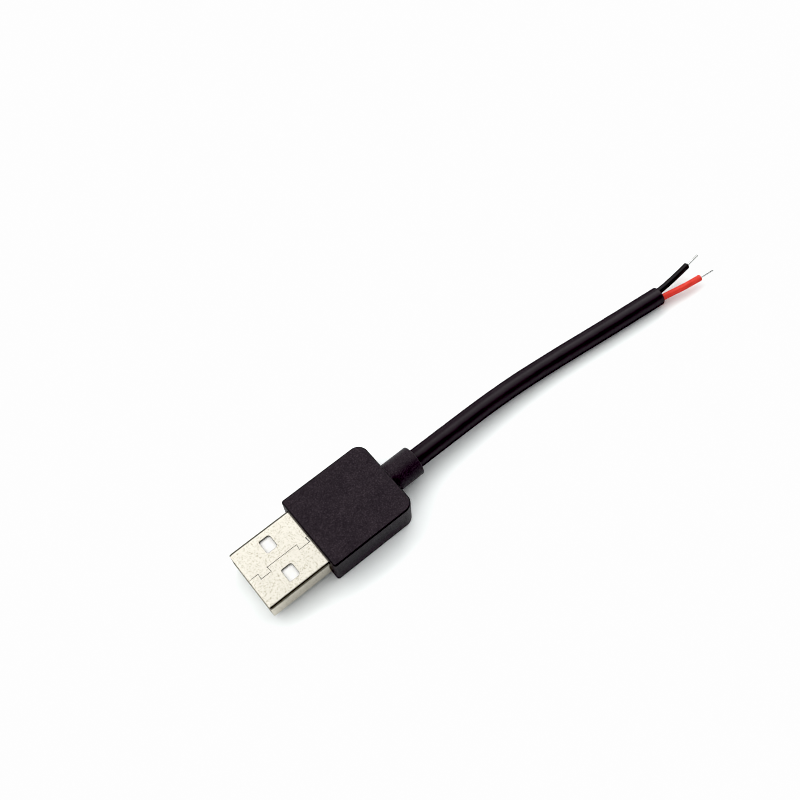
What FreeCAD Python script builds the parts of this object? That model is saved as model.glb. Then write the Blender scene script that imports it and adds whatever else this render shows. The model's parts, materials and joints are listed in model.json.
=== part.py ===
import FreeCAD, Part
import math
import os
import Sketcher

# A short USB-A plug lead with two bare wires, lying on a table, seam side up.
# Frame: X runs along the plug, mouth towards -X and cord towards +X, Z is up, and the
# origin is on the table under the middle of the plug. Lengths are in millimetres.

# Driving sizes
SIZES = {
    # Folded sheet shell
    "shell_width": 12.0,
    "shell_height": 4.5,
    "shell_length": 16.5,
    "shell_exposed": 12.0,
    "sheet_wall": 0.3,
    "bend_radius": 0.55,
    "lead_in_length": 0.5,
    "lead_in_depth": 0.09,
    # Latch windows, two in each broad face
    "window_from_mouth": 5.08,
    "window_length": 2.1,
    "window_width": 2.5,
    "window_spacing": 6.25,
    "window_offset": 0.08,
    "window_front_corner": 0.25,
    "window_rear_corner": 0.45,
    "window_plain_corner": 0.25,
    "window_edge": 0.08,
    # Seam with its dovetail tabs
    "seam_offset": 0.1,
    "seam_gap": 0.09,
    "tab_depth": 1.0,
    "tab_length": 1.85,
    "tab_flare": 0.09,
    "first_tab_from_mouth": 1.85,
    "second_tab_from_mouth": 9.65,
    "second_tab_rear_room": 0.12,
    "corner_relief": 0.2,
    # Slot that the moulding's nub locks into
    "lock_from_front": 2.0,
    "lock_length": 2.2,
    "lock_width": 1.0,
    "lock_corner": 0.45,
    "nub_height": 0.18,
    "nub_clearance": 0.08,
    # White moulding
    "tongue_setback": 0.45,
    "tongue_drop": 0.12,
    "tongue_thickness": 1.84,
    "tongue_chamfer": 0.35,
    "cavity_depth": 8.65,
    "moulding_clearance": 0.05,
    "moulding_corner": 0.3,
    "block_overhang": 0.5,
    "shelf_length": 2.4,
    "shelf_width": 9.4,
    # Contacts
    "contact_width": 1.0,
    "contact_thickness": 0.28,
    "contact_proud": 0.04,
    "contact_bend": 0.4,
    "contact_hook": 0.3,
    "outer_contact_y": 3.5,
    "inner_contact_y": 1.0,
    "outer_contact_from_mouth": 1.25,
    "inner_contact_from_mouth": 2.25,
    "groove_clearance": 0.03,
    "tail_corner": 0.25,
    "tail_past_shelf": 0.15,
    # Black overmoulding
    "body_length": 17.0,
    "body_width": 14.9,
    "body_height": 7.0,
    "body_front_corner": 0.45,
    "body_rear_corner": 2.0,
    "body_edge": 0.35,
    "collar_length": 5.8,
    "collar_diameter": 5.6,
    "collar_edge": 0.2,
    "collar_root": 0.25,
    # Cord
    "jacket_diameter": 3.6,
    "jacket_bore": 2.8,
    "core_diameter": 1.25,
    "wire_diameter": 0.6,
    "core_offset": 0.68,
    "wire_start_before_tail_end": 2.0,
    "wire_bend_after_tail_end": 2.2,
    "core_start_after_tail_end": 0.45,
    "red_bare_length": 3.3,
    "black_bare_length": 3.2,
    # Solder
    "solder_length": 2.2,
    "solder_width": 1.0,
    "solder_height": 0.85,
}

# Where the cord runs after the plug, chosen to follow the photograph
CORD_BENDS = [
    (38.0, 0.2, 2.52),
    (50.1, -0.6, 1.82),
    (62.5, -2.07, 1.82),
    (74.7, -3.3, 1.82),
]
CORD_START_X = 9.6
CORD_FIRST_BEND_X = 23.8

# The two cores turn half a turn round each other between these places of the cord
CORE_TURN_START = [(8.2, 0.0), (15.8, 20.0), (23.8, 40.0)]
CORE_TURN_FREE = [
    ((38.0, 0.2, 2.52), 80.0),
    ((50.1, -0.6, 1.82), 115.0),
    ((62.5, -2.07, 1.82), 145.0),
    ((70.4, -2.87, 1.82), 165.0),
    ((75.4, -3.37, 1.82), 180.0),
]
RED_SPREAD = [(81.3, -5.35, 1.85), (86.87, -5.91, 1.9)]
BLACK_SPREAD = [(81.2, -2.42, 2.3), (86.5, -1.99, 2.9)]

# How far a cut through the sheet goes, in sheet thicknesses
CUT_THROUGH = 1.5

# The share of a straight run that an arc may take at each of its ends
ARC_SHARE = 0.45

# Differences below these count as none, in a sum and between two places
ZERO = 1e-9
CLOSE = 1e-4

doc = FreeCAD.newDocument("usb_pigtail")
sheet = doc.addObject("Spreadsheet::Sheet", "Sizes")


class Size:
    """A length that carries both its number and the sheet formula behind it."""

    def __init__(self, number, formula):
        self.number = number
        self.formula = formula

    def join(self, other, sign, number):
        return Size(number, f"({self.formula} {sign} {as_size(other).formula})")

    def __add__(self, other):
        return self.join(other, "+", self.number + as_size(other).number)

    def __sub__(self, other):
        return self.join(other, "-", self.number - as_size(other).number)

    def __mul__(self, other):
        return self.join(other, "*", self.number * as_size(other).number)

    def __truediv__(self, other):
        return self.join(other, "/", self.number / as_size(other).number)

    def __neg__(self):
        return Size(-self.number, f"(0 - {self.formula})")


def as_size(value):
    if isinstance(value, Size):
        return value
    return Size(float(value), repr(float(value)))


def fill_sheet():
    for row, (alias, number) in enumerate(SIZES.items(), start=1):
        sheet.set(f"A{row}", alias.replace("_", " "))
        sheet.set(f"B{row}", str(number))
        sheet.setAlias(f"B{row}", alias)
    doc.recompute()


def size(alias):
    return Size(float(sheet.get(alias)), f"Sizes.{alias}")


def bind(target, name, value):
    target.setExpression(name, as_size(value).formula)


def place(target, x, y, z):
    for axis, value in zip("xyz", (x, y, z)):
        bind(target, f"Placement.Base.{axis}", value)


# Sketch helpers

def new_body(name):
    body = doc.addObject("PartDesign::Body", name)
    body.Label = name
    return body


def new_sketch(body, name, role, lift):
    sketch = body.newObject("Sketcher::SketchObject", name)
    plane = [item for item in body.Origin.OriginFeatures if item.Role == role][0]
    sketch.AttachmentSupport = [(plane, "")]
    sketch.MapMode = "FlatFace"
    bind(sketch, "AttachmentOffset.Base.z", lift)
    return sketch


def add_measure(sketch, kind, value, *where):
    index = sketch.addConstraint(Sketcher.Constraint(kind, *where, value.number))
    sketch.setExpression(f"Constraints[{index}]", value.formula)


def pin_point(sketch, geometry, end, across, along):
    for kind, axis, value in (("DistanceX", -2, across), ("DistanceY", -1, along)):
        value = as_size(value)
        if abs(value.number) < ZERO:
            sketch.addConstraint(Sketcher.Constraint("PointOnObject", geometry, end, axis))
        else:
            add_measure(sketch, kind, value, -1, 1, geometry, end)


def draw_polygon(sketch, corners):
    first = sketch.GeometryCount
    count = len(corners)
    places = [FreeCAD.Vector(as_size(a).number, as_size(b).number, 0) for a, b in corners]
    for step in range(count):
        line = Part.LineSegment(places[step], places[(step + 1) % count])
        sketch.addGeometry(line, False)
    for step in range(count):
        following = first + (step + 1) % count
        sketch.addConstraint(Sketcher.Constraint("Coincident", first + step, 2, following, 1))
        pin_point(sketch, first + step, 1, *corners[step])


def draw_rounded(sketch, low, high, radii):
    """Rectangle from low to high, with the four corner radii anticlockwise from low."""
    left, bottom = (as_size(value) for value in low)
    right, top = (as_size(value) for value in high)
    corners = [(left, bottom), (right, bottom), (right, top), (left, top)]
    steps = [(1, 0), (0, 1), (-1, 0), (0, -1)]
    first = sketch.GeometryCount
    for turn in range(4):
        start, end = corners[turn], corners[(turn + 1) % 4]
        lead, trail = radii[turn].number, radii[(turn + 1) % 4].number
        along = FreeCAD.Vector(*steps[turn], 0)
        begin = FreeCAD.Vector(start[0].number, start[1].number, 0) + along * lead
        finish = FreeCAD.Vector(end[0].number, end[1].number, 0) - along * trail
        sketch.addGeometry(Part.LineSegment(begin, finish), False)
        onward = FreeCAD.Vector(*steps[(turn + 1) % 4], 0)
        centre = finish + onward * trail
        circle = Part.Circle(centre, FreeCAD.Vector(0, 0, 1), trail)
        angle = math.radians(90 * turn - 90)
        sketch.addGeometry(Part.ArcOfCircle(circle, angle, angle + math.pi / 2), False)
    for turn in range(4):
        line, arc = first + 2 * turn, first + 2 * turn + 1
        following = first + (2 * turn + 2) % 8
        sketch.addConstraint(Sketcher.Constraint("Tangent", line, 2, arc, 1))
        sketch.addConstraint(Sketcher.Constraint("Tangent", arc, 2, following, 1))
        direction = "Vertical" if turn % 2 else "Horizontal"
        sketch.addConstraint(Sketcher.Constraint(direction, line))
        add_measure(sketch, "Radius", radii[(turn + 1) % 4], arc)
    add_measure(sketch, "DistanceY", bottom, -1, 1, first, 1)
    add_measure(sketch, "DistanceX", right, -1, 1, first + 2, 1)
    add_measure(sketch, "DistanceY", top, -1, 1, first + 4, 1)
    add_measure(sketch, "DistanceX", left, -1, 1, first + 6, 1)


def draw_circle(sketch, across, along, radius):
    place_ = FreeCAD.Vector(as_size(across).number, as_size(along).number, 0)
    circle = Part.Circle(place_, FreeCAD.Vector(0, 0, 1), radius.number)
    index = sketch.addGeometry(circle, False)
    pin_point(sketch, index, 3, across, along)
    add_measure(sketch, "Radius", radius, index)


# Feature helpers

def pad(body, sketch, length, both_ways=False):
    feature = body.newObject("PartDesign::Pad", sketch.Name + "_pad")
    feature.Profile = sketch
    bind(feature, "Length", length)
    if both_ways:
        feature.SideType = "Symmetric"
    doc.recompute()
    return feature


def pocket(body, sketch, depth, upwards=False):
    before = body.Shape.Volume
    feature = body.newObject("PartDesign::Pocket", sketch.Name + "_pocket")
    feature.Profile = sketch
    feature.Reversed = upwards
    bind(feature, "Length", depth)
    doc.recompute()
    if body.Shape.Volume >= before - ZERO:
        raise RuntimeError(f"{sketch.Name} removes nothing")
    return feature


def edges_where(shape, wanted):
    names = []
    for number, edge in enumerate(shape.Edges, start=1):
        if wanted(edge):
            names.append(f"Edge{number}")
    if not names:
        raise RuntimeError("no edge found")
    return names


def dress(body, kind, wanted, value):
    """Fillet or chamfer on the body's edges that the wanted test picks."""
    base = body.Tip
    names = edges_where(base.Shape, wanted)
    feature = body.newObject(f"PartDesign::{kind}", f"{body.Name}_{kind.lower()}")
    feature.Base = (base, names)
    bind(feature, "Radius" if kind == "Fillet" else "Size", value)
    doc.recompute()
    return feature


def near(first, second):
    return abs(first - second) < CLOSE


def lies_along(edge, axis):
    """True for a straight edge along the axis."""
    if not isinstance(edge.Curve, (Part.Line, Part.LineSegment)):
        return False
    direction = edge.Curve.Direction
    return near(abs(getattr(direction, axis)), 1.0)


def flat_at(edge, axis, where):
    """True for an edge that lies wholly at one place of the axis."""
    low = getattr(edge.BoundBox, f"{axis.upper()}Min")
    high = getattr(edge.BoundBox, f"{axis.upper()}Max")
    return near(low, where) and near(high, where)


def cut(name, base, tools):
    """The base with all the tools taken out of it."""
    tool = tools[0]
    if len(tools) > 1:
        tool = doc.addObject("Part::MultiFuse", name + "_tools")
        tool.Shapes = tools
    feature = doc.addObject("Part::Cut", name)
    feature.Label = name
    feature.Base = base
    feature.Tool = tool
    doc.recompute()
    return feature


fill_sheet()

# Places that several pieces share
plug_length = size("shell_exposed") + size("body_length") + size("collar_length")
mouth_x = -(plug_length / 2)
front_x = mouth_x + size("shell_exposed")
rear_x = front_x + size("body_length")
shell_rear_x = mouth_x + size("shell_length")
axis_z = size("body_height") / 2
shell_top_z = axis_z + size("shell_height") / 2
shell_bottom_z = axis_z - size("shell_height") / 2
inner_top_z = shell_top_z - size("sheet_wall")
inner_bottom_z = shell_bottom_z + size("sheet_wall")
tongue_bottom_z = inner_top_z - size("tongue_drop") - size("tongue_thickness")
block_front_x = mouth_x + size("cavity_depth")
block_rear_x = shell_rear_x + size("block_overhang")
shelf_rear_x = block_rear_x + size("shelf_length")
tail_rear_x = shelf_rear_x + size("tail_past_shelf")
contact_bottom_z = tongue_bottom_z - size("contact_proud")
contact_top_z = contact_bottom_z + size("contact_thickness")
lock_x = front_x - size("lock_from_front")


# Shell of folded sheet

def section_corners(inset):
    half_width = size("shell_width") / 2 - inset
    half_height = size("shell_height") / 2 - inset
    low = (-half_width, axis_z - half_height)
    high = (half_width, axis_z + half_height)
    return low, high


def window_spans():
    """Front, rear and the two inner and outer sides of the pair of windows."""
    front = mouth_x + size("window_from_mouth")
    rear = front + size("window_length")
    spans = []
    for side in (-1, 1):
        centre = size("window_spacing") / 2 * side + size("window_offset")
        low = centre - size("window_width") / 2
        high = centre + size("window_width") / 2
        spans.append(((front, low), (rear, high)))
    return spans


def cut_windows(body, name, face_z, upwards, front_corner, rear_corner):
    """The pair of windows in one broad face, with their outer edges rounded."""
    sketch = new_sketch(body, name, "XY_Plane", face_z)
    for low, high in window_spans():
        draw_rounded(sketch, low, high, [front_corner, rear_corner, rear_corner, front_corner])
    pocket(body, sketch, size("sheet_wall") * CUT_THROUGH, upwards)
    front = low[0].number
    rear = high[0].number

    def is_window_edge(edge):
        box = edge.BoundBox
        between = box.XMin > front - CLOSE and box.XMax < rear + CLOSE
        return between and flat_at(edge, "z", face_z.number)

    dress(body, "Fillet", is_window_edge, size("window_edge"))


def seam_edge(shift, second_rear_room):
    """One edge of the seam slit, from the mouth to the rear of the shell."""
    line = size("seam_offset") + shift
    tip = line - size("tab_depth")
    flare = size("tab_flare")
    points = [(mouth_x - size("sheet_wall"), line)]
    for alias, room in (("first_tab_from_mouth", as_size(0)),
                        ("second_tab_from_mouth", second_rear_room)):
        start = mouth_x + size(alias) + shift
        end = mouth_x + size(alias) + size("tab_length") - shift + room
        points += [(start, line), (start - flare, tip), (end + flare, tip), (end, line)]
    points.append((shell_rear_x + size("sheet_wall"), line))
    return points


def cut_seam(body):
    """The slit where the sheet's two edges meet, and the round reliefs of the first tab."""
    seam = new_sketch(body, "seam_slit", "XY_Plane", shell_top_z)
    half_gap = size("seam_gap") / 2
    tab_side = seam_edge(half_gap, as_size(0))
    opening_side = seam_edge(-half_gap, size("second_tab_rear_room"))
    draw_polygon(seam, tab_side + opening_side[::-1])
    pocket(body, seam, size("sheet_wall") * CUT_THROUGH)
    tab_front_x = mouth_x + size("first_tab_from_mouth")
    radius = size("corner_relief") / 2
    reliefs = new_sketch(body, "seam_reliefs", "XY_Plane", shell_top_z)
    draw_circle(reliefs, tab_front_x - size("tab_flare"), size("seam_offset") - size("tab_depth"), radius)
    draw_circle(reliefs, tab_front_x + size("tab_length"), size("seam_offset"), radius)
    pocket(body, reliefs, size("sheet_wall") * CUT_THROUGH)


def make_shell():
    body = new_body("shell")
    outline = new_sketch(body, "shell_outline", "YZ_Plane", mouth_x)
    draw_rounded(outline, *section_corners(as_size(0)), [size("bend_radius")] * 4)
    pad(body, outline, size("shell_length"))
    lead_in = dress(body, "Chamfer", lambda edge: flat_at(edge, "x", mouth_x.number),
                    size("lead_in_length"))
    lead_in.ChamferType = "Two distances"
    bind(lead_in, "Size2", size("lead_in_depth"))
    doc.recompute()
    inside = new_sketch(body, "shell_inside", "YZ_Plane", shell_rear_x)
    inner_radius = size("bend_radius") - size("sheet_wall")
    draw_rounded(inside, *section_corners(size("sheet_wall")), [inner_radius] * 4)
    pocket(body, inside, size("shell_length"))
    cut_windows(body, "seam_side_windows", shell_top_z, False,
                size("window_front_corner"), size("window_rear_corner"))
    cut_windows(body, "plain_side_windows", shell_bottom_z, True,
                size("window_plain_corner"), size("window_plain_corner"))
    lock = new_sketch(body, "lock_slot", "XY_Plane", shell_bottom_z)
    half_length = size("lock_length") / 2
    half_width = size("lock_width") / 2
    draw_rounded(lock, (lock_x - half_width, -half_length), (lock_x + half_width, half_length),
                 [size("lock_corner")] * 4)
    pocket(body, lock, size("sheet_wall") * CUT_THROUGH, True)
    cut_seam(body)
    return body


def make_shell_seat():
    """The room that the shell and what fills it take in the overmoulding."""
    body = new_body("shell_seat")
    outline = new_sketch(body, "seat_outline", "YZ_Plane", front_x - size("body_edge"))
    draw_rounded(outline, *section_corners(as_size(0)), [size("bend_radius")] * 4)
    pad(body, outline, shell_rear_x - front_x + size("body_edge"))
    return body


# White moulding that carries the contacts

def make_moulding_block():
    body = new_body("moulding_block")
    tongue_front_x = mouth_x + size("tongue_setback")
    chamfer = size("tongue_chamfer")
    block_bottom_z = inner_bottom_z + size("moulding_clearance")
    side = new_sketch(body, "moulding_side", "XZ_Plane", 0)
    draw_polygon(side, [
        (tongue_front_x, tongue_bottom_z + chamfer),
        (tongue_front_x + chamfer, tongue_bottom_z),
        (block_front_x, tongue_bottom_z),
        (block_front_x, block_bottom_z),
        (block_rear_x, block_bottom_z),
        (block_rear_x, inner_top_z),
        (tongue_front_x, inner_top_z),
    ])
    inner_width = size("shell_width") - size("sheet_wall") * 2
    width = inner_width - size("moulding_clearance") * 2
    pad(body, side, width, both_ways=True)
    half = width.number / 2

    def is_long_corner(edge):
        outside = near(abs(edge.BoundBox.Center.y), half)
        return outside and lies_along(edge, "x") and not flat_at(edge, "z", tongue_bottom_z.number)

    dress(body, "Fillet", is_long_corner, size("moulding_corner"))
    relief = new_sketch(body, "moulding_relief", "XY_Plane", inner_top_z)
    draw_polygon(relief, [
        (tongue_front_x, -(width / 2)),
        (front_x, -(width / 2)),
        (front_x, width / 2),
        (tongue_front_x, width / 2),
    ])
    pocket(body, relief, size("tongue_drop"))
    shelf = new_sketch(body, "moulding_shelf", "XY_Plane", tongue_bottom_z)
    half_shelf = size("shelf_width") / 2
    draw_polygon(shelf, [
        (block_rear_x - size("moulding_corner"), -half_shelf),
        (shelf_rear_x, -half_shelf),
        (shelf_rear_x, half_shelf),
        (block_rear_x - size("moulding_corner"), half_shelf),
    ])
    pad(body, shelf, size("tongue_thickness") - size("moulding_corner"))
    nub = new_sketch(body, "lock_nub", "XY_Plane", block_bottom_z - size("nub_height"))
    half_length = size("lock_length") / 2 - size("nub_clearance")
    half_width = size("lock_width") / 2 - size("nub_clearance")
    corner = size("lock_corner") - size("nub_clearance")
    draw_rounded(nub, (lock_x - half_width, -half_length), (lock_x + half_width, half_length),
                 [corner] * 4)
    pad(body, nub, size("nub_height"))
    return body


def make_groove(name, y, front):
    """The open channel of one contact, with the pit that its hooked front end sits in."""
    body = new_body(name)
    clearance = size("groove_clearance")
    roof = contact_top_z
    pit_roof = contact_bottom_z + size("contact_bend") + size("contact_hook") + clearance
    pit_rear = front + size("contact_thickness") + clearance
    side = new_sketch(body, name + "_side", "XZ_Plane", -y)
    draw_polygon(side, [
        (front - clearance, contact_bottom_z),
        (tail_rear_x, contact_bottom_z),
        (tail_rear_x, roof),
        (pit_rear + size("contact_bend"), roof),
        (pit_rear, roof + size("contact_bend") / 2),
        (pit_rear, pit_roof),
        (front - clearance, pit_roof),
    ])
    pad(body, side, size("contact_width") + clearance * 2, both_ways=True)
    return body


def make_contact(name, y, front):
    """Flat strip with its front end bent up into the moulding and a soldering tail."""
    body = new_body(name)
    hook_top = contact_bottom_z + size("contact_bend") + size("contact_hook")
    side = new_sketch(body, name + "_side", "XZ_Plane", -y)
    draw_polygon(side, [
        (front, contact_bottom_z),
        (tail_rear_x, contact_bottom_z),
        (tail_rear_x, contact_top_z),
        (front + size("contact_thickness"), contact_top_z),
        (front + size("contact_thickness"), hook_top),
        (front, hook_top),
    ])
    pad(body, side, size("contact_width"), both_ways=True)

    def is_outer_bend(edge):
        at_front = flat_at(edge, "x", front.number)
        return lies_along(edge, "y") and at_front and flat_at(edge, "z", contact_bottom_z.number)

    def is_inner_bend(edge):
        inner_x = (front + size("contact_thickness")).number
        at_front = flat_at(edge, "x", inner_x)
        return lies_along(edge, "y") and at_front and flat_at(edge, "z", contact_top_z.number)

    def is_tail_corner(edge):
        return lies_along(edge, "z") and flat_at(edge, "x", tail_rear_x.number)

    dress(body, "Fillet", is_outer_bend, size("contact_bend"))
    dress(body, "Fillet", is_inner_bend, size("contact_bend") - size("contact_thickness"))
    dress(body, "Fillet", is_tail_corner, size("tail_corner"))
    return body


# Cord

def start_points(side):
    """The points of one core before the cord, from the contact's tail into the jacket."""
    contact_y = size("outer_contact_y").number * side
    wire_z = (contact_bottom_z - size("wire_diameter") / 2).number
    begin_x = (tail_rear_x - size("wire_start_before_tail_end")).number
    bend_x = (tail_rear_x + size("wire_bend_after_tail_end")).number
    return [
        FreeCAD.Vector(begin_x, contact_y, wire_z),
        FreeCAD.Vector(bend_x, contact_y, wire_z),
    ]


def twisted_point(centre, angle, side):
    """A core's place beside the cord's middle, turned round it by the angle."""
    reach = size("core_offset").number * side
    turn = math.radians(angle)
    return centre + FreeCAD.Vector(0, reach * math.cos(turn), reach * math.sin(turn))


def core_points(side, spread):
    points = start_points(side)
    for x, angle in CORE_TURN_START:
        points.append(twisted_point(FreeCAD.Vector(x, 0, axis_z.number), angle, side))
    for centre, angle in CORE_TURN_FREE:
        points.append(twisted_point(FreeCAD.Vector(*centre), angle, side))
    return points + [FreeCAD.Vector(*place_) for place_ in spread]


def cord_points():
    start = FreeCAD.Vector(CORD_START_X, 0, axis_z.number)
    first_bend = FreeCAD.Vector(CORD_FIRST_BEND_X, 0, axis_z.number)
    return [start, first_bend] + [FreeCAD.Vector(*place_) for place_ in CORD_BENDS]


def rounded_route(name, points):
    """Straight runs joined by arcs as large as the runs allow."""
    edges = []
    radii = []
    last = points[0]
    for before, corner, after in zip(points, points[1:], points[2:]):
        incoming = corner - before
        outgoing = after - corner
        reach = ARC_SHARE * min(incoming.Length, outgoing.Length)
        incoming.normalize()
        outgoing.normalize()
        half_turn = incoming.getAngle(outgoing) / 2
        radius = reach / math.tan(half_turn)
        inward = outgoing - incoming
        inward.normalize()
        begin = corner - incoming * reach
        middle = corner + inward * (radius / math.cos(half_turn) - radius)
        finish = corner + outgoing * reach
        edges.append(Part.LineSegment(last, begin).toShape())
        edges.append(Part.Arc(begin, middle, finish).toShape())
        radii.append(round(radius, 1))
        last = finish
    edges.append(Part.LineSegment(last, points[-1]).toShape())
    print(name, "arc radii", radii)
    return edges


def stretch_of(edges, start, end):
    """The part of a route between two distances along it."""
    kept = []
    passed = 0.0
    for edge in edges:
        low = max(start - passed, 0.0)
        high = min(end - passed, edge.Length)
        if high - low > ZERO:
            first = edge.getParameterByLength(low)
            last = edge.getParameterByLength(high)
            kept.append(edge.Curve.toShape(first, last))
        passed += edge.Length
    return kept


def make_path(name, edges):
    path = doc.addObject("Part::Feature", name + "_path")
    path.Shape = Part.Wire(edges)
    return path


def sweep(name, path, diameter):
    """A round rod along the path."""
    first = path.Shape.OrderedEdges[0]
    tangent = first.tangentAt(first.FirstParameter)
    section = doc.addObject("Part::Circle", name + "_section")
    bind(section, "Radius", diameter / 2)
    turn = FreeCAD.Rotation(FreeCAD.Vector(0, 0, 1), tangent)
    section.Placement = FreeCAD.Placement(first.valueAt(first.FirstParameter), turn)
    rod = doc.addObject("Part::Sweep", name)
    rod.Label = name
    rod.Sections = [section]
    rod.Spine = (path, [f"Edge{step + 1}" for step in range(len(path.Shape.Edges))])
    rod.Solid = True
    doc.recompute()
    expected = math.pi * diameter.number ** 2 / 4 * path.Shape.Length
    share = rod.Shape.Volume / expected
    print(name, "length", round(path.Shape.Length, 2), "volume share", round(share, 4))
    return rod


def make_core(colour, side, spread, bare_length):
    """The insulation, the wire in it and the rod that both fill."""
    edges = rounded_route("core_" + colour, core_points(side, spread))
    whole = sum(edge.Length for edge in edges)
    wire = sweep("conductor_" + colour, make_path("conductor_" + colour, edges),
                 size("wire_diameter"))
    bare_start = size("wire_start_before_tail_end") + size("core_start_after_tail_end")
    covered = stretch_of(edges, bare_start.number, whole - bare_length.number)
    path = make_path("core_" + colour, covered)
    outer = sweep("core_rod_" + colour, path, size("core_diameter"))
    inner = sweep("core_bore_" + colour, path, size("wire_diameter"))
    return cut("core_" + colour, outer, [inner]), wire, outer


def make_jacket():
    path = make_path("jacket", rounded_route("jacket", cord_points()))
    outer = sweep("jacket_rod", path, size("jacket_diameter"))
    inner = sweep("jacket_hollow", path, size("jacket_bore"))
    return cut("jacket", outer, [inner]), outer


# Solder

def make_solder(name, side, wire):
    """Half a drop under the contact's tail, with the wire's end in it."""
    length = size("solder_length")
    width = size("solder_width")
    height = size("solder_height")
    centre_x = tail_rear_x - length / 2 - size("tail_past_shelf")
    centre_y = size("outer_contact_y") * side
    drop = doc.addObject("Part::Ellipsoid", name + "_drop")
    bind(drop, "Radius1", height)
    bind(drop, "Radius2", length / 2)
    bind(drop, "Radius3", width / 2)
    place(drop, centre_x, centre_y, contact_bottom_z)
    room = doc.addObject("Part::Box", name + "_room")
    bind(room, "Length", length * 2)
    bind(room, "Width", width * 2)
    bind(room, "Height", height * 2)
    place(room, centre_x - length, centre_y - width, contact_bottom_z - height * 2)
    half = doc.addObject("Part::MultiCommon", name + "_half")
    half.Shapes = [drop, room]
    doc.recompute()
    return cut(name, half, [wire]), half


# Black overmoulding

def make_body_block():
    body = new_body("body_block")
    plan = new_sketch(body, "body_plan", "XY_Plane", 0)
    half_width = size("body_width") / 2
    front_corner = size("body_front_corner")
    rear_corner = size("body_rear_corner")
    draw_rounded(plan, (front_x, -half_width), (rear_x, half_width),
                 [front_corner, rear_corner, rear_corner, front_corner])
    pad(body, plan, size("body_height"))
    height = size("body_height").number
    dress(body, "Fillet",
          lambda edge: flat_at(edge, "z", 0.0) or flat_at(edge, "z", height),
          size("body_edge"))
    collar = new_sketch(body, "collar_section", "YZ_Plane", rear_x)
    radius = size("collar_diameter") / 2
    draw_circle(collar, 0, axis_z, radius)
    pad(body, collar, size("collar_length"))
    collar_end = (rear_x + size("collar_length")).number
    dress(body, "Fillet", lambda edge: flat_at(edge, "x", collar_end), size("collar_edge"))

    def is_collar_root(edge):
        round_edge = isinstance(edge.Curve, Part.Circle)
        return round_edge and flat_at(edge, "x", rear_x.number) and near(edge.Curve.Radius, radius.number)

    dress(body, "Fillet", is_collar_root, size("collar_root"))
    return body


def check_document():
    """Stop at any object that failed to build."""
    for item in doc.Objects:
        if "Invalid" in item.State or "Error" in item.State:
            raise RuntimeError(f"{item.Name} failed: {item.State}")


def write_parts(pieces):
    os.makedirs("parts", exist_ok=True)
    for piece in pieces:
        shape = piece.Shape
        if shape.isNull() or not shape.isValid():
            raise RuntimeError(f"{piece.Label} has no valid shape")
        shape.exportStep(os.path.join("parts", piece.Label + ".step"))
        print(piece.Label, "solids", len(shape.Solids), "volume", round(shape.Volume, 3))


def main():
    shell = make_shell()
    shell_seat = make_shell_seat()
    block = make_moulding_block()
    outer_front = mouth_x + size("outer_contact_from_mouth")
    inner_front = mouth_x + size("inner_contact_from_mouth")
    places = [
        ("vbus", size("outer_contact_y"), outer_front),
        ("d_minus", size("inner_contact_y"), inner_front),
        ("d_plus", -size("inner_contact_y"), inner_front),
        ("gnd", -size("outer_contact_y"), outer_front),
    ]
    contacts = [make_contact("contact_" + name, y, front) for name, y, front in places]
    grooves = [make_groove("groove_" + name, y, front) for name, y, front in places]
    insulator = cut("insulator", block, grooves)
    jacket, jacket_rod = make_jacket()
    red_core, red_wire, red_rod = make_core("red", 1, RED_SPREAD, size("red_bare_length"))
    black_core, black_wire, black_rod = make_core("black", -1, BLACK_SPREAD, size("black_bare_length"))
    red_solder, red_drop = make_solder("solder_vbus", 1, red_wire)
    black_solder, black_drop = make_solder("solder_gnd", -1, black_wire)
    inserts = [shell_seat, block, *contacts, red_drop, black_drop, red_wire, black_wire,
               red_rod, black_rod, jacket_rod]
    overmould = cut("overmould", make_body_block(), inserts)
    check_document()
    write_parts([shell, insulator, *contacts, overmould, jacket, red_core, black_core,
                 red_wire, black_wire, red_solder, black_solder])


main()
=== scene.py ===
import json
import math
from typing import NamedTuple

import bmesh
import bpy
from mathutils import Matrix, Vector, noise


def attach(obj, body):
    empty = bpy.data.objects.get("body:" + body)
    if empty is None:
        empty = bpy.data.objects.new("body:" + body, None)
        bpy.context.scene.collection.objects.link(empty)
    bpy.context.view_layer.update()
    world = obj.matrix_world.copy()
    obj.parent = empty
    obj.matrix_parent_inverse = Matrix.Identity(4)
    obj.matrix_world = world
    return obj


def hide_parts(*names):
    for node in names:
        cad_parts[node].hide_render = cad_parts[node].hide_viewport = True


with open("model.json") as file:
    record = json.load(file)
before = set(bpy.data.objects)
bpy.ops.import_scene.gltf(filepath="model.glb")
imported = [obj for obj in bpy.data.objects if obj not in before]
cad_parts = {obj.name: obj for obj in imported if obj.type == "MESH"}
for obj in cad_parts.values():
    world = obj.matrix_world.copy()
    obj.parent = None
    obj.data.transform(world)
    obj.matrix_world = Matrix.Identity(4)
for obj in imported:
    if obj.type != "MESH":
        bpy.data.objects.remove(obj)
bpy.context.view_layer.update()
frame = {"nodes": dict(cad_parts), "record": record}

MM = 0.001


# Camera, at the photograph's place

CAMERA_PLACE = Vector((-0.024429, -0.056071, 0.162802))
CAMERA_AIM = Vector((0.024021, 0.012129, 0.0))
CAMERA_ROLL = 0.079
LENS = 45.0
SENSOR = 36.0
NEAREST_SEEN = 0.005
FARTHEST_SEEN = 20.0


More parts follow.
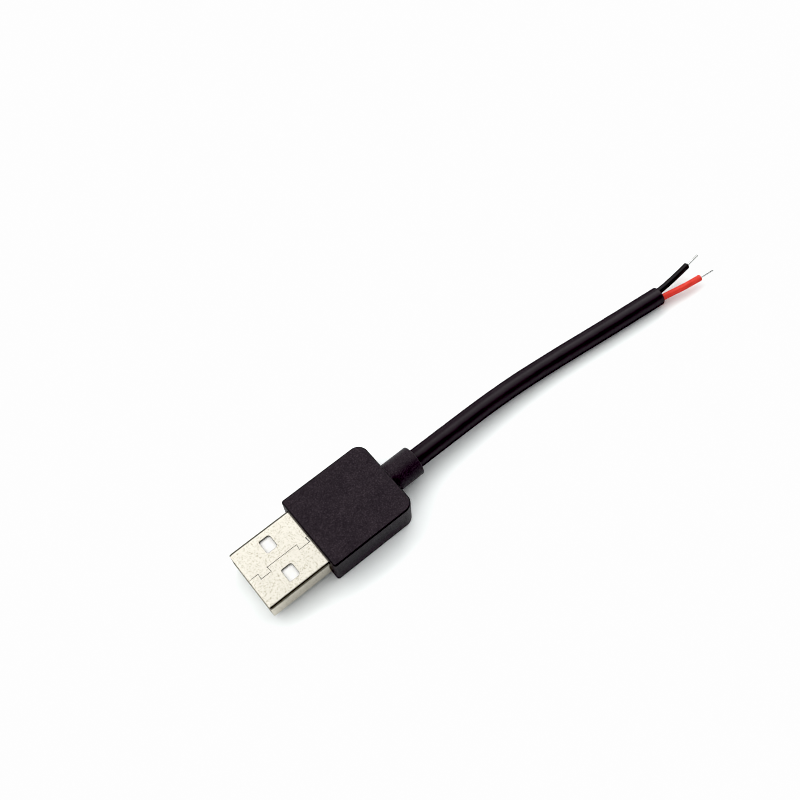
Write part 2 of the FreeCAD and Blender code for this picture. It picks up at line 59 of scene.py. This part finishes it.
def make_camera():
    data = bpy.data.cameras.new("camera")
    data.lens = LENS
    data.sensor_width = SENSOR
    data.clip_start = NEAREST_SEEN
    data.clip_end = FARTHEST_SEEN
    camera = bpy.data.objects.new("camera", data)
    ahead = (CAMERA_AIM - CAMERA_PLACE).normalized()
    level_right = ahead.cross(Vector((0, 0, 1))).normalized()
    level_down = ahead.cross(level_right)
    cosine = math.cos(CAMERA_ROLL)
    sine = math.sin(CAMERA_ROLL)
    right = cosine * level_right + sine * level_down
    down = cosine * level_down - sine * level_right
    turn = Matrix((right, -down, -ahead)).transposed().to_4x4()
    camera.matrix_world = Matrix.Translation(CAMERA_PLACE) @ turn
    bpy.context.scene.collection.objects.link(camera)
    bpy.context.scene.camera = camera


# Cords: the routes of the CAD model, in metres

JACKET_ROUTE = [
    (0.0096, 0.0, 0.0035),
    (0.0238, 0.0, 0.0035),
    (0.0380, 0.0002, 0.00252),
    (0.0501, -0.0006, 0.00182),
    (0.0625, -0.00207, 0.00182),
    (0.0747, -0.0033, 0.00182),
]
RED_ROUTE = [
    (0.00015, 0.0035, 0.00315),
    (0.00435, 0.0035, 0.00315),
    (0.0082, 0.00068, 0.0035),
    (0.0158, 0.000639, 0.003733),
    (0.0238, 0.000521, 0.003937),
    (0.0380, 0.000318, 0.00319),
    (0.0501, -0.000887, 0.002436),
    (0.0625, -0.002627, 0.00221),
    (0.0704, -0.003527, 0.001996),
    (0.0754, -0.00405, 0.00182),
    (0.0813, -0.00535, 0.00185),
    (0.08687, -0.00591, 0.0019),
]
BLACK_ROUTE = [
    (0.00015, -0.0035, 0.00315),
    (0.00435, -0.0035, 0.00315),
    (0.0082, -0.00068, 0.0035),
    (0.0158, -0.000639, 0.003267),
    (0.0238, -0.000521, 0.003063),
    (0.0380, 0.000082, 0.00185),
    (0.0501, -0.000313, 0.001204),
    (0.0625, -0.001513, 0.00143),
    (0.0704, -0.002213, 0.001644),
    (0.0754, -0.00269, 0.00182),
    (0.0812, -0.00242, 0.0023),
    (0.0865, -0.00199, 0.0029),
]

SPLINE_RESOLUTION = 24


def spline_points(name, route):
    """The points of the smooth line that has the route as its control points."""
    data = bpy.data.curves.new(name, "CURVE")
    data.dimensions = "3D"
    data.resolution_u = SPLINE_RESOLUTION
    spline = data.splines.new("NURBS")
    spline.points.add(len(route) - 1)
    for point, place in zip(spline.points, route):
        point.co = (*place, 1.0)
    spline.order_u = 3
    spline.use_endpoint_u = True
    carrier = bpy.data.objects.new(name, data)
    bpy.context.scene.collection.objects.link(carrier)
    bpy.context.view_layer.update()
    line = bpy.data.meshes.new_from_object(carrier)
    points = [vertex.co.copy() for vertex in line.vertices]
    bpy.data.objects.remove(carrier)
    bpy.data.meshes.remove(line)
    return points


def lengths_along(points):
    """The distance from a line's start to each of its points."""
    passed = [0.0]
    for a, b in zip(points, points[1:]):
        passed.append(passed[-1] + (b - a).length)
    return passed


def stretch(points, start, end, step):
    """Points at even steps between two distances along a line."""
    passed = lengths_along(points)
    count = max(2, round((end - start) / step))
    found = []
    index = 0
    for i in range(count + 1):
        wanted = start + (end - start) * i / count
        while index < len(passed) - 2 and passed[index + 1] < wanted:
            index += 1
        share = (wanted - passed[index]) / (passed[index + 1] - passed[index])
        found.append(points[index].lerp(points[index + 1], share))
    return found


class Station(NamedTuple):
    """A point on a line, with the line's direction and two directions across it."""

    place: Vector
    ahead: Vector
    side: Vector
    up: Vector


def stations_along(points):
    """A station at each point, with no twist from one to the next."""
    found = []
    side = Vector((0, 1, 0))
    for i, place in enumerate(points):
        ahead = points[min(i + 1, len(points) - 1)] - points[max(i - 1, 0)]
        ahead.normalize()
        side = (side - ahead * side.dot(ahead)).normalized()
        found.append(Station(place, ahead, side, ahead.cross(side)))
    return found


# Meshes of tubes and rods

# The turns, in degrees, at which a lip and a rod's tip get a ring
LIP_TURNS = (30.0, 60.0, 90.0)
TIP_TURNS = (18.0, 36.0, 54.0, 72.0)

# How far a tube's bore opens out at its mouth, as a share of its lip
MOUTH_OPENING = 0.5


def add_ring(build, station, sides, radius_at, shift=0.0):
    """Points round a station, or round a place that is shifted ahead of it."""
    centre = station.place + station.ahead * shift
    ring = []
    for i in range(sides):
        angle = math.tau * i / sides
        across = math.cos(angle) * station.side + math.sin(angle) * station.up
        ring.append(build.verts.new(centre + radius_at(angle) * across))
    return ring


def join_rings(build, rings):
    """A skin of faces from each ring to the next."""
    for first, second in zip(rings, rings[1:]):
        for i in range(len(first)):
            j = (i + 1) % len(first)
            build.faces.new((first[i], first[j], second[j], second[i]))


def lip_rings(build, station, sides, outer_at, bore, reach):
    """The rings of a rounded lip that stands ahead of a station, or behind it if reach is negative."""
    lip = abs(reach)
    rings = []
    for turn in map(math.radians, LIP_TURNS):
        drop = lip * (1.0 - math.cos(turn))
        shift = reach * math.sin(turn)
        rings.append(add_ring(build, station, sides, lambda a: outer_at(a) - drop, shift))
    rings.append(add_ring(build, station, sides, lambda a: bore + MOUTH_OPENING * lip, reach))
    return rings


def hollow_tube(build, line, outer_at, bore, sides, lip, cut_at):
    """A tube with a bore, rounded lips and a slightly uneven cut at its far end.

    outer_at(share, angle) gives the outer radius, cut_at(angle) how far the far end stands out.
    """
    stations = stations_along(line)
    last = len(stations) - 1
    outer = []
    for i, station in enumerate(stations):
        outer.append(add_ring(build, station, sides, lambda a: outer_at(i / last, a)))
    near = lip_rings(build, stations[0], sides, lambda a: outer_at(0.0, a), bore, -lip)
    far = lip_rings(build, stations[-1], sides, lambda a: outer_at(1.0, a), bore, lip)
    for ring in far:
        for i, vertex in enumerate(ring):
            vertex.co += stations[-1].ahead * cut_at(math.tau * i / sides)
    inner = [add_ring(build, station, sides, lambda a: bore) for station in stations]
    join_rings(build, outer)
    join_rings(build, inner)
    join_rings(build, [outer[0], *near, inner[0]])
    join_rings(build, [outer[-1], *far, inner[-1]])


def solid_rod(build, line, radius_at, sides, tip):
    """A rod with a rounded far end. radius_at(distance, angle) gives its radius."""
    stations = stations_along(line)
    passed = lengths_along(line)
    rings = []
    for station, distance in zip(stations, passed):
        rings.append(add_ring(build, station, sides, lambda a: radius_at(distance, a)))
    end = stations[-1]
    for turn in map(math.radians, TIP_TURNS):
        shrink = math.cos(turn)
        shift = tip * math.sin(turn)
        rings.append(add_ring(build, end, sides, lambda a: radius_at(passed[-1], a) * shrink, shift))
    join_rings(build, rings)
    build.faces.new(rings[0])
    peak = build.verts.new(end.place + end.ahead * tip)
    for i in range(sides):
        build.faces.new((rings[-1][i], rings[-1][(i + 1) % sides], peak))


# Shader nodes. Their owner is a material or the world.

# The places of a Mix node's two colours and its mixed colour among its sockets
MIX_FIRST = 6
MIX_SECOND = 7
MIX_RESULT = 2

# Most values of a noise lie between these two
NOISE_LOW = 0.3
NOISE_HIGH = 0.7

WHITE = (1.0, 1.0, 1.0)


def link(owner, source, target):
    owner.node_tree.links.new(source, target)


def new_material(name):
    material = bpy.data.materials.new(name)
    material.use_nodes = True
    nodes = material.node_tree.nodes
    nodes.clear()
    output = nodes.new("ShaderNodeOutputMaterial")
    shader = nodes.new("ShaderNodeBsdfPrincipled")
    link(material, shader.outputs["BSDF"], output.inputs["Surface"])
    return material, shader


def feed(material, shader, sources):
    """Links each named socket of a shader to another node's output."""
    for socket, source in sources.items():
        link(material, source, shader.inputs[socket])


def parts_of(owner, vector):
    """The outputs X, Y and Z of a vector."""
    node = owner.node_tree.nodes.new("ShaderNodeSeparateXYZ")
    link(owner, vector, node.inputs["Vector"])
    return node.outputs


def places_in_mm(material, squeeze=(1, 1, 1)):
    """Object coordinates in millimetres, times a number for each axis."""
    nodes = material.node_tree.nodes
    where = nodes.new("ShaderNodeTexCoord")
    mapping = nodes.new("ShaderNodeMapping")
    mapping.inputs["Scale"].default_value = [number / MM for number in squeeze]
    link(material, where.outputs["Object"], mapping.inputs["Vector"])
    return mapping.outputs["Vector"]


def noise_of(material, per_mm, detail, rough=0.5, squeeze=(1, 1, 1)):
    node = material.node_tree.nodes.new("ShaderNodeTexNoise")
    node.inputs["Scale"].default_value = per_mm
    node.inputs["Detail"].default_value = detail
    node.inputs["Roughness"].default_value = rough
    link(material, places_in_mm(material, squeeze), node.inputs["Vector"])
    return node.outputs["Fac"]


def math_of(owner, operation, *values):
    """The result of a Math node. Each value is a number or another node's output."""
    node = owner.node_tree.nodes.new("ShaderNodeMath")
    node.operation = operation
    for socket, value in zip(node.inputs, values):
        if isinstance(value, float):
            socket.default_value = value
        else:
            link(owner, value, socket)
    return node.outputs["Value"]


def range_of(owner, value, low_in, high_in, low_out, high_out):
    """A value carried from one range to another, and held at the ends of it."""
    node = owner.node_tree.nodes.new("ShaderNodeMapRange")
    node.inputs["From Min"].default_value = low_in
    node.inputs["From Max"].default_value = high_in
    node.inputs["To Min"].default_value = low_out
    node.inputs["To Max"].default_value = high_out
    link(owner, value, node.inputs["Value"])
    return node.outputs["Result"]


def ramp_of(owner, factor, stops):
    """A colour by a factor, from stops of a position and a colour."""
    node = owner.node_tree.nodes.new("ShaderNodeValToRGB")
    ramp = node.color_ramp
    while len(ramp.elements) < len(stops):
        ramp.elements.new(0.5)
    for element, (position, colour) in zip(ramp.elements, stops):
        element.position = position
        element.color = (*colour, 1.0)
    link(owner, factor, node.inputs["Fac"])
    return node.outputs["Color"]


def number_by_noise(material, noisy, at_low, at_high):
    return range_of(material, noisy, NOISE_LOW, NOISE_HIGH, at_low, at_high)


def colour_by_noise(material, noisy, dark, light):
    return ramp_of(material, noisy, [(NOISE_LOW, dark), (NOISE_HIGH, light)])


def masked_number(material, mask, plain, masked):
    """A number that is plain where the mask is 0 and masked where it is 1."""
    return range_of(material, mask, 0.0, 1.0, plain, masked)


def masked_colour(owner, mask, plain, colour):
    """The plain colour where the mask is 0, and another one where it is 1."""
    node = owner.node_tree.nodes.new("ShaderNodeMix")
    node.data_type = "RGBA"
    link(owner, mask, node.inputs["Factor"])
    link(owner, plain, node.inputs[MIX_FIRST])
    node.inputs[MIX_SECOND].default_value = (*colour, 1.0)
    return node.outputs[MIX_RESULT]


def multiplied(material, first, second):
    """Two colours multiplied with each other."""
    node = material.node_tree.nodes.new("ShaderNodeMix")
    node.data_type = "RGBA"
    node.blend_type = "MULTIPLY"
    node.inputs["Factor"].default_value = 1.0
    link(material, first, node.inputs[MIX_FIRST])
    link(material, second, node.inputs[MIX_SECOND])
    return node.outputs[MIX_RESULT]


def bump_of(material, height, strength, depth_mm):
    node = material.node_tree.nodes.new("ShaderNodeBump")
    node.inputs["Strength"].default_value = strength
    node.inputs["Distance"].default_value = depth_mm * MM
    link(material, height, node.inputs["Height"])
    return node.outputs["Normal"]


# Places on the plug, in millimetres: the height of the shell's middle, and where its lead-in ends
SHELL_MIDDLE_Z = 3.5
MOUTH_REAR = -16.8
# From that middle, in millimetres: the heights between which the sheet's cut walls lie, just
# within its two faces, and half the breadth of its flat part
SHEET_INSIDE = 1.96
SHEET_OUTSIDE = 2.19
FLAT_BREADTH = 5.4
# Where the overmoulding's box has ended and only its collar goes on, in millimetres
BOX_REAR = 11.65

# By its flatness a face is upright up to the first of these, a fold or a rounded edge between
# the second and the third, and flat from the fourth
UPRIGHT_TO = 0.03
FOLD_FROM = 0.16
FOLD_TO = 0.9
FLAT_FROM = 0.98

# How far a face has turned away where its gloss starts to fade, and where it has faded
GLOSS_FADES_FROM = 0.25
GLOSS_FADES_TO = 0.55


def painted_cut_wall_shade(material):
    """1 on the cut walls of the shell's windows and seam, where near-black painted shade stands for the
    shade in those slits, and 0 elsewhere.
    """
    parts = parts_of(material, places_in_mm(material))
    height = math_of(material, "ABSOLUTE", math_of(material, "SUBTRACT", parts["Z"], SHELL_MIDDLE_Z))
    breadth = math_of(material, "ABSOLUTE", parts["Y"])
    tests = [
        math_of(material, "GREATER_THAN", height, SHEET_INSIDE),
        math_of(material, "LESS_THAN", height, SHEET_OUTSIDE),
        math_of(material, "LESS_THAN", breadth, FLAT_BREADTH),
        math_of(material, "GREATER_THAN", parts["X"], MOUTH_REAR),
    ]
    result = tests[0]
    for test in tests[1:]:
        result = math_of(material, "MULTIPLY", result, test)
    return result


def flatness(material):
    """1 where a face lies level and 0 where it stands upright."""
    surface = material.node_tree.nodes.new("ShaderNodeNewGeometry")
    return math_of(material, "ABSOLUTE", parts_of(material, surface.outputs["True Normal"])["Z"])


def painted_fold_and_side_light(material, upright, fold):
    """Painted light by the way a face leans: white on flat faces, a painted lighter or darker tone on
    upright ones, and painted dark shade on the rounded bends between them.

    The round collar behind the overmoulding's box stays white, with no painted light.
    """
    stops = [(UPRIGHT_TO, upright), (FOLD_FROM, fold), (FOLD_TO, fold), (FLAT_FROM, WHITE)]
    shaded = ramp_of(material, flatness(material), stops)
    along = parts_of(material, places_in_mm(material))["X"]
    behind = math_of(material, "GREATER_THAN", along, BOX_REAR)
    return masked_colour(material, behind, shaded, WHITE)


def soft_gloss(material, face_on, at_edge):
    """Gloss that fades where the surface turns away, as on a fine matt plastic."""
    weight = material.node_tree.nodes.new("ShaderNodeLayerWeight")
    weight.inputs["Blend"].default_value = 0.5
    facing = weight.outputs["Facing"]
    return range_of(material, facing, GLOSS_FADES_FROM, GLOSS_FADES_TO, face_on, at_edge)


# Looks, one for each of the record's material slots

def nickel_plate():
    """Satin plate with a fine dark grain, painted shade on its bends, painted light on its upright sides
    and painted shade on its cut walls.
    """
    material, shader = new_material("nickel_plate_look")
    cloudy = noise_of(material, per_mm=0.5, detail=2.0)
    grain = noise_of(material, per_mm=4.8, detail=2.0, rough=0.6, squeeze=(1, 1, 0.31))
    base = colour_by_noise(material, cloudy, (0.51, 0.488, 0.43), (0.527, 0.505, 0.447))
    specks = ramp_of(material, grain, [(0.32, (0.64, 0.63, 0.57)), (0.48, WHITE)])
    # Painted light: the upright sides are lightened by about a quarter, and the bends are darkened into
    # a painted dark reflection line
    painted_light_on_bends = painted_fold_and_side_light(material, upright=(1.26, 1.21, 1.15), fold=(0.2, 0.195, 0.18))
    plated = multiplied(material, multiplied(material, base, specks), painted_light_on_bends)
    # Painted shade: on the cut walls of the windows and seam, the plate turns near-black, dull and not
    # metal
    cut_wall_shade_mask = painted_cut_wall_shade(material)
    feed(material, shader, {
        "Base Color": masked_colour(material, cut_wall_shade_mask, plated, (0.012, 0.011, 0.01)),
        "Metallic": masked_number(material, cut_wall_shade_mask, 1.0, 0.0),
        "Specular IOR Level": masked_number(material, cut_wall_shade_mask, 0.5, 0.1),
        "Roughness": number_by_noise(material, grain, 0.2, 0.14),
        "Normal": bump_of(material, grain, strength=0.2, depth_mm=0.008),
    })
    return material


def white_plastic():
    material, shader = new_material("white_plastic_look")
    cloudy = noise_of(material, per_mm=1.2, detail=3.0)
    fine = noise_of(material, per_mm=9.0, detail=2.0)
    feed(material, shader, {
        "Base Color": colour_by_noise(material, cloudy, (0.80, 0.79, 0.76), (0.86, 0.855, 0.83)),
        "Roughness": number_by_noise(material, cloudy, 0.38, 0.5),
        "Normal": bump_of(material, fine, strength=0.15, depth_mm=0.01),
    })
    return material


def gold_contact():
    """Gold flash on strip that was drawn along the plug."""
    material, shader = new_material("gold_contact_look")
    cloudy = noise_of(material, per_mm=1.5, detail=3.0, squeeze=(0.3, 2, 2))
    drawn = noise_of(material, per_mm=5.0, detail=2.0, squeeze=(0.15, 3, 3))
    shader.inputs["Metallic"].default_value = 1.0
    feed(material, shader, {
        "Base Color": colour_by_noise(material, cloudy, (0.66, 0.46, 0.17), (0.83, 0.63, 0.29)),
        "Roughness": number_by_noise(material, cloudy, 0.34, 0.2),
        "Normal": bump_of(material, drawn, strength=0.15, depth_mm=0.006),
    })
    return material


def black_moulding():
    """Matt moulding with a fine light and dark grain, painted dark shade on the rounded bends between
    its faces and painted shade on its upright sides.
    """
    material, shader = new_material("black_moulding_look")
    cloudy = noise_of(material, per_mm=0.35, detail=3.0)
    grain = noise_of(material, per_mm=4.2, detail=2.0, rough=0.6)
    base = colour_by_noise(material, cloudy, (0.0162, 0.0126, 0.0156), (0.0222, 0.0172, 0.0208))
    stops = [(0.3, (0.72, 0.72, 0.72)), (0.55, WHITE), (0.72, (1.7, 1.6, 1.65))]
    specks = ramp_of(material, grain, stops)
    # Painted shade: the rounded bends are darkened to near-black, and the upright sides by a fifth
    painted_edge_and_side_shade = painted_fold_and_side_light(material, upright=(0.8, 0.8, 0.8), fold=(0.12, 0.12, 0.12))
    feed(material, shader, {
        "Base Color": multiplied(material, multiplied(material, base, specks), painted_edge_and_side_shade),
        "Roughness": number_by_noise(material, grain, 0.62, 0.5),
        "Specular IOR Level": range_of(material, flatness(material), UPRIGHT_TO, FOLD_FROM, 0.18, 0.24),
        "Normal": bump_of(material, grain, strength=0.5, depth_mm=0.03),
    })
    return material


def black_jacket():
    """Soft plastic with a satin shine and streaks along the cord."""
    material, shader = new_material("black_jacket_look")
    cloudy = noise_of(material, per_mm=0.8, detail=3.0, squeeze=(0.4, 1, 1))
    fine = noise_of(material, per_mm=6.0, detail=2.0, squeeze=(0.5, 1.6, 1.6))
    shader.inputs["IOR"].default_value = 1.34
    feed(material, shader, {
        "Base Color": colour_by_noise(material, cloudy, (0.012, 0.0085, 0.011), (0.017, 0.0125, 0.0155)),
        "Roughness": number_by_noise(material, fine, 0.32, 0.4),
        "Specular IOR Level": soft_gloss(material, face_on=0.5, at_edge=0.02),
        "Normal": bump_of(material, fine, strength=0.25, depth_mm=0.012),
    })
    return material


def insulation(name, dark, light, dull, shine):
    """The plastic of a wire: dull is its roughness where it is smoothest, shine its gloss face on."""
    material, shader = new_material(name)
    cloudy = noise_of(material, per_mm=1.3, detail=3.0, squeeze=(0.5, 1, 1))
    fine = noise_of(material, per_mm=7.0, detail=2.0, squeeze=(0.6, 2, 2))
    feed(material, shader, {
        "Base Color": colour_by_noise(material, cloudy, dark, light),
        "Roughness": number_by_noise(material, fine, dull, dull + 0.1),
        "Specular IOR Level": soft_gloss(material, face_on=shine, at_edge=0.2 * shine),
        "Normal": bump_of(material, fine, strength=0.2, depth_mm=0.01),
    })
    return material


def tinned(name, dark, light):
    """Bright solder or tinned wire, cloudy and slightly lumpy."""
    material, shader = new_material(name)
    cloudy = noise_of(material, per_mm=3.5, detail=3.0)
    shader.inputs["Metallic"].default_value = 1.0
    feed(material, shader, {
        "Base Color": colour_by_noise(material, cloudy, dark, light),
        "Roughness": number_by_noise(material, cloudy, 0.34, 0.18),
        "Normal": bump_of(material, cloudy, strength=0.3, depth_mm=0.015),
    })
    return material


LOOKS = {
    "nickel_plate": nickel_plate(),
    "white_plastic": white_plastic(),
    "gold_contact": gold_contact(),
    "black_moulding": black_moulding(),
    "black_jacket": black_jacket(),
    "red_insulation": insulation(
        "red_insulation_look",
        dark=(0.54, 0.042, 0.03), light=(0.64, 0.058, 0.044), dull=0.42, shine=0.2,
    ),
    "black_insulation": insulation(
        "black_insulation_look",
        dark=(0.006, 0.005, 0.006), light=(0.009, 0.0078, 0.0086), dull=0.4, shine=0.3,
    ),
    "tinned_wire": tinned("tinned_wire_look", dark=(0.58, 0.58, 0.575), light=(0.74, 0.74, 0.735)),
    "solder": tinned("solder_look", dark=(0.5, 0.5, 0.5), light=(0.72, 0.72, 0.72)),
}


def dress_cad_nodes():
    slots = {part["node"]: part["material_slot"] for part in frame["record"]["subparts"]}
    for name, node in frame["nodes"].items():
        node.data.materials.clear()
        node.data.materials.append(LOOKS[slots[name]])


# Cord pieces, in metres

JACKET_RADIUS = 0.0018
JACKET_BORE = 0.0014
JACKET_LIP = 0.00012
JACKET_STEP = 0.0005
JACKET_SIDES = 48
# The unevenness of the jacket's wall and of its cut: how high each is, and how fine
JACKET_SWELL = 0.000012
JACKET_WAVES = 40.0
JACKET_CUT = 0.00005
JACKET_CUT_WAVES = 1.5
JACKET_SEED = 7.0

CORE_RADIUS = 0.000625
CORE_LIP = 0.00005
CORE_STEP = 0.0004
CORE_SIDES = 28
# The unevenness of a core's wall and of its cut
CORE_SWELL = 0.000008
CORE_WAVES = 60.0
CORE_CUT = 0.00006
CORE_CUT_WAVES = 1.3
# How far along its wire a core starts, and its room round the wire
CORE_START = 0.00245
CORE_ROOM = 0.00001
# The slight flare that stripping left near a core's end: its height, place and breadth
FLARE = 0.00002
FLARE_FROM_END = 0.0003
FLARE_BREADTH = 0.0005

WIRE_RADIUS = 0.0003
WIRE_TIP = 0.00022
WIRE_STEP = 0.00025
WIRE_SIDES = 36
# The strands that show through the tin: their number, the length in which they go round the wire
# once, and the depth between them as a share of the radius
STRANDS = 6
STRAND_LAY = 0.036
STRAND_DEPTH = 0.025

RED_BARE = 0.0033
BLACK_BARE = 0.0032
RED_SEED = 3.0
BLACK_SEED = 9.0


def wall_swell(share, angle, waves, seed=0.0):
    """A smooth unevenness of a tube's wall, from -1 to 1. More waves make it finer along the tube."""
    return noise.noise(Vector((share * waves, math.cos(angle), math.sin(angle) + seed)))


def cut_swell(angle, waves, seed):
    """A smooth unevenness of a tube's cut, from -1 to 1. More waves make it finer round the tube."""
    return noise.noise(Vector((math.cos(angle) * waves, math.sin(angle) * waves, seed)))


def new_piece(name, build, slot, node):
    """A piece with a finished mesh, which stands for a CAD node."""
    mesh = bpy.data.meshes.new(name)
    bmesh.ops.recalc_face_normals(build, faces=build.faces)
    build.to_mesh(mesh)
    build.free()
    mesh.shade_smooth()
    mesh.materials.append(LOOKS[slot])
    piece = bpy.data.objects.new(name, mesh)
    bpy.context.scene.collection.objects.link(piece)
    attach(piece, "root")
    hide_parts(node)
    return piece


def make_jacket():
    line = spline_points("jacket_line", JACKET_ROUTE)
    total = lengths_along(line)[-1]

    def outer_at(share, angle):
        return JACKET_RADIUS + JACKET_SWELL * wall_swell(share, angle, JACKET_WAVES)

    def cut_at(angle):
        return JACKET_CUT * cut_swell(angle, JACKET_CUT_WAVES, JACKET_SEED)

    build = bmesh.new()
    run = stretch(line, 0.0, total - JACKET_LIP, JACKET_STEP)
    hollow_tube(build, run, outer_at, JACKET_BORE, JACKET_SIDES, JACKET_LIP, cut_at)
    piece = new_piece("jacket_tube", build, "black_jacket", "jacket")


def make_core(colour, line, covered, seed):
    """The insulation of a wire, up to the length that it covers."""
    run = stretch(line, CORE_START, covered - CORE_LIP, CORE_STEP)
    length = (len(run) - 1) * CORE_STEP

    def outer_at(share, angle):
        from_flare = (1.0 - share) * length - FLARE_FROM_END
        flare = FLARE * math.exp(-(from_flare / FLARE_BREADTH) ** 2)
        return CORE_RADIUS + CORE_SWELL * wall_swell(share, angle, CORE_WAVES, seed) + flare

    def cut_at(angle):
        return CORE_CUT * cut_swell(angle, CORE_CUT_WAVES, seed)

    build = bmesh.new()
    hollow_tube(build, run, outer_at, WIRE_RADIUS + CORE_ROOM, CORE_SIDES, CORE_LIP, cut_at)
    piece = new_piece(colour + "_core", build, colour + "_insulation", "core_" + colour)


def make_wire(colour, line, total):
    """A bundle of strands, tinned into one wire with a rounded tip."""
    run = stretch(line, 0.0, total - WIRE_TIP, WIRE_STEP)

    def radius_at(distance, angle):
        turned = math.tau * distance / STRAND_LAY
        crest = abs(math.cos(STRANDS / 2 * (angle - turned)))
        return WIRE_RADIUS * (1.0 - STRAND_DEPTH + STRAND_DEPTH * crest)

    build = bmesh.new()
    solid_rod(build, run, radius_at, WIRE_SIDES, WIRE_TIP)
    piece = new_piece(colour + "_wire", build, "tinned_wire", "conductor_" + colour)


def make_lead(colour, route, bare, seed):
    """A wire with its insulation, which leaves the wire's end bare."""
    line = spline_points(colour + "_line", route)
    total = lengths_along(line)[-1]
    make_core(colour, line, total - bare, seed)
    make_wire(colour, line, total)


# Floor and light

FLOOR_HALF = 1.5

KEY_PLACE = Vector((0.03, 0.40, 0.44))
KEY_AIM = Vector((0.02, 0.0, 0.0))
KEY_SIZE = 0.40
KEY_POWER = 0.29

# The studio's brightness by how far a direction leans away from the camera: from -1, level on
# the near side, over 0, straight up, to 1, level on the far side
SKY = [
    (-1.0, 1.05),
    (-0.94, 0.7),
    (-0.84, 0.1),
    (-0.44, 0.1),
    (-0.28, 0.95),
    (0.0, 1.35),
    (0.25, 1.72),
    (0.38, 1.8),
    (0.47, 3.3),
    (0.57, 1.8),
    (0.75, 0.45),
    (1.0, 0.2),
]

# The share by which the studio is brighter at both ends of the plug's axis
END_LIGHT = 0.8

# The studio's brightness all round its horizon, and the two heights, as shares of straight up,
# between which it goes over into the rest of the studio
HORIZON = 0.95
HORIZON_FADE = (0.29, 0.38)

# What the camera itself sees past the floor
BACKDROP = (0.96, 0.97, 0.965)

FILTER_WIDTH = 1.0
BLACK_LEVEL = (0.026, 0.027, 0.026)
WHITEST = 0.985
# The place of the curve for all colours together, after those for red, green and blue
COMBINED_CURVE = 3


def make_floor():
    material, shader = new_material("floor_look")
    cloudy = noise_of(material, per_mm=0.02, detail=2.0)
    pale = colour_by_noise(material, cloudy, (0.94, 0.97, 0.965), (0.95, 0.98, 0.975))
    link(material, pale, shader.inputs["Base Color"])
    shader.inputs["Roughness"].default_value = 0.75
    shader.inputs["Specular IOR Level"].default_value = 0.2
    mesh = bpy.data.meshes.new("floor")
    corners = [(x * FLOOR_HALF, y * FLOOR_HALF, 0) for x, y in ((-1, -1), (1, -1), (1, 1), (-1, 1))]
    mesh.from_pydata(corners, [], [(0, 1, 2, 3)])
    mesh.materials.append(material)
    floor = bpy.data.objects.new("floor", mesh)
    bpy.context.scene.collection.objects.link(floor)


def make_key_light():
    data = bpy.data.lights.new("key", "AREA")
    data.shape = "SQUARE"
    data.size = KEY_SIZE
    data.energy = KEY_POWER
    light = bpy.data.objects.new("key", data)
    light.location = KEY_PLACE
    light.rotation_euler = (KEY_AIM - KEY_PLACE).to_track_quat("-Z", "Y").to_euler()
    light.visible_glossy = False
    bpy.context.scene.collection.objects.link(light)


def studio_brightness(world):
    """The outputs for the studio's colour, at most 1, and for what it is multiplied by."""
    where = world.node_tree.nodes.new("ShaderNodeTexCoord")
    parts = parts_of(world, where.outputs["Generated"])
    brightest = max(level for _, level in SKY)
    lean = range_of(world, parts["Y"], -1.0, 1.0, 0.0, 1.0)
    stops = [((place + 1.0) / 2.0, [level / brightest] * 3) for place, level in SKY]
    sky = ramp_of(world, lean, stops)
    low = range_of(world, parts["Z"], *HORIZON_FADE, 1.0, 0.0)
    colour = masked_colour(world, low, sky, [HORIZON / brightest] * 3)
    endwise = math_of(world, "MULTIPLY", parts["X"], parts["X"])
    strength = range_of(world, endwise, 0.0, 1.0, brightest, brightest * (1.0 + END_LIGHT))
    return colour, strength


def make_world():
    world = bpy.data.worlds.new("studio")
    bpy.context.scene.world = world
    world.use_nodes = True
    nodes = world.node_tree.nodes
    nodes.clear()
    colour, strength = studio_brightness(world)
    studio = nodes.new("ShaderNodeBackground")
    link(world, colour, studio.inputs["Color"])
    link(world, strength, studio.inputs["Strength"])
    backdrop = nodes.new("ShaderNodeBackground")
    backdrop.inputs["Color"].default_value = (*BACKDROP, 1.0)
    rays = nodes.new("ShaderNodeLightPath")
    seen = nodes.new("ShaderNodeMixShader")
    link(world, rays.outputs["Is Camera Ray"], seen.inputs["Fac"])
    link(world, studio.outputs["Background"], seen.inputs[1])
    link(world, backdrop.outputs["Background"], seen.inputs[2])
    output = nodes.new("ShaderNodeOutputWorld")
    link(world, seen.outputs["Shader"], output.inputs["Surface"])


def set_film():
    """The picture's tones: full blacks, and a white just short of blank."""
    bpy.context.scene.cycles.filter_width = FILTER_WIDTH
    view = bpy.context.scene.view_settings
    view.view_transform = "Standard"
    view.look = "None"
    view.use_curve_mapping = True
    curves = view.curve_mapping
    curves.black_level = BLACK_LEVEL
    curves.extend = "HORIZONTAL"
    curves.curves[COMBINED_CURVE].points[1].location = (1.0, WHITEST)
    curves.update()


make_camera()
dress_cad_nodes()
make_jacket()
make_lead("red", RED_ROUTE, RED_BARE, RED_SEED)
make_lead("black", BLACK_ROUTE, BLACK_BARE, BLACK_SEED)
make_floor()
make_key_light()
make_world()
set_film()
